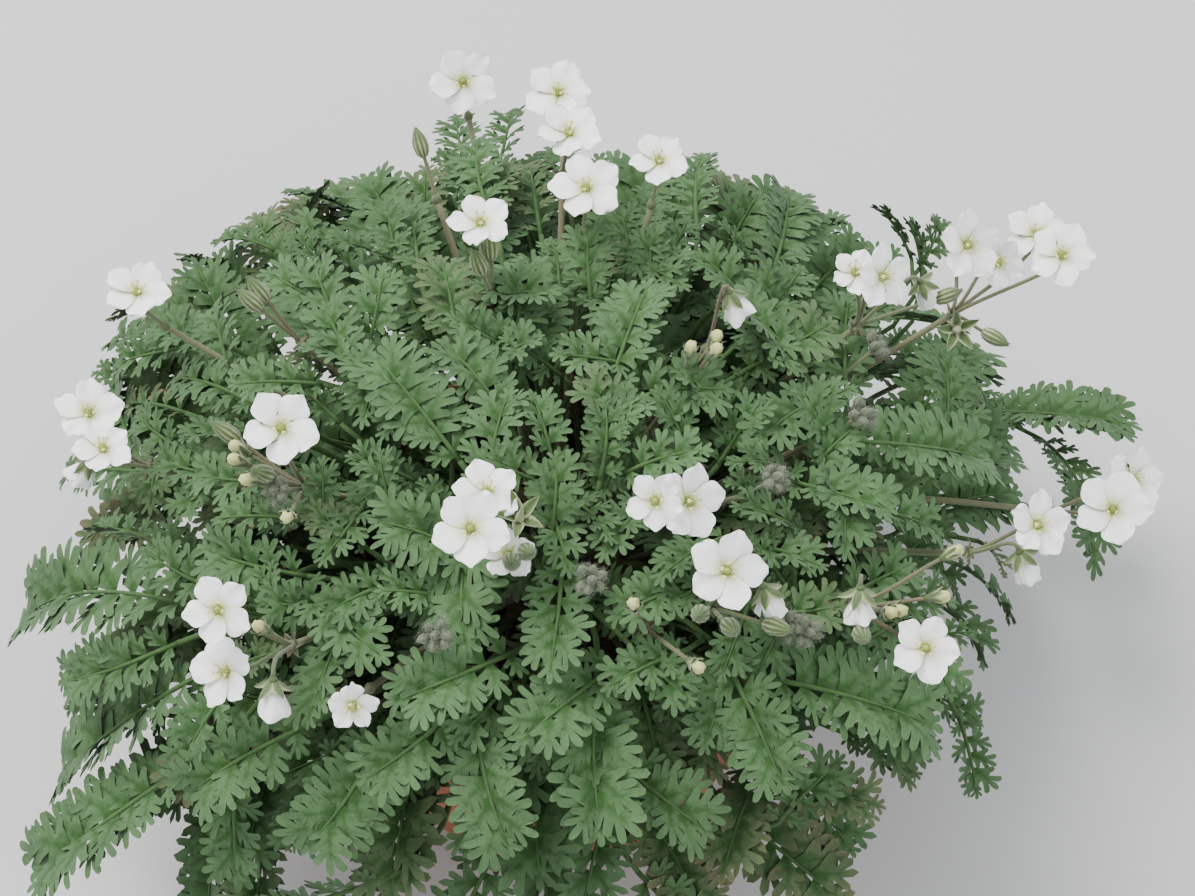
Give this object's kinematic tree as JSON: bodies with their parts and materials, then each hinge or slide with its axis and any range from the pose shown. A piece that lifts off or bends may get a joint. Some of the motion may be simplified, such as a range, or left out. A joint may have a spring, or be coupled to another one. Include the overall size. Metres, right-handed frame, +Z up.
{
  "type": "potted rock cranesbill plant",
  "caption": "Low cushion of ferny grey-green leaves with white five-petalled flowers on thin stalks, growing in compost in a plain round clay pot.",
  "frame": {"origin": "middle of the pot's flat underside, on the surface it stands on", "axes": "+Z up along the pot's axis, -Y towards the front that the picture shows, +X to the right of that view"},
  "size_m": [0.3508, 0.2986, 0.1961],
  "materials": {
    "terracotta": "matte",
    "compost": "matte",
    "bark": "matte",
    "foliage": "matte",
    "petal": "satin"
  },
  "bodies": {
    "root": {"crown": "bark", "leaf_rosette_01": "foliage", "leaf_rosette_02": "foliage", "leaf_rosette_03": "foliage", "leaf_rosette_04": "foliage", "leaf_rosette_05": "foliage", "leaf_rosette_06": "foliage", "leaf_rosette_07": "foliage", "leaf_rosette_08": "foliage", "leaf_rosette_09": "foliage", "leaf_rosette_10": "foliage", "leaf_rosette_11": "foliage", "leaf_rosette_12": "foliage", "leaf_rosette_13": "foliage", "leaf_rosette_14": "foliage", "leaf_rosette_15": "foliage", "leaf_rosette_16": "foliage", "leaf_rosette_17": "foliage", "leaf_rosette_18": "foliage", "leaf_rosette_19": "foliage", "leaf_rosette_20": "foliage", "leaf_rosette_21": "foliage", "leaf_rosette_22": "foliage", "leaf_rosette_23": "foliage", "leaf_rosette_24": "foliage", "leaf_rosette_25": "foliage", "leaf_rosette_26": "foliage", "leaf_rosette_27": "foliage", "pot": "terracotta", "soil": "compost", "umbel_01": "petal", "umbel_02": "petal", "umbel_03": "petal", "umbel_04": "petal", "umbel_05": "petal", "umbel_06": "petal", "umbel_07": "petal", "umbel_08": "petal", "umbel_09": "petal", "umbel_10": "petal", "umbel_11": "petal", "umbel_12": "petal", "umbel_13": "petal", "umbel_14": "petal", "umbel_15": "petal", "umbel_16": "petal", "umbel_17": "petal", "umbel_18": "petal", "umbel_19": "petal", "umbel_20": "petal", "umbel_21": "petal", "umbel_22": "petal", "umbel_23": "petal", "umbel_24": "petal", "umbel_25": "petal", "umbel_26": "petal", "umbel_27": "petal", "umbel_28": "petal", "umbel_29": "petal"}
  },
  "joints": []
}
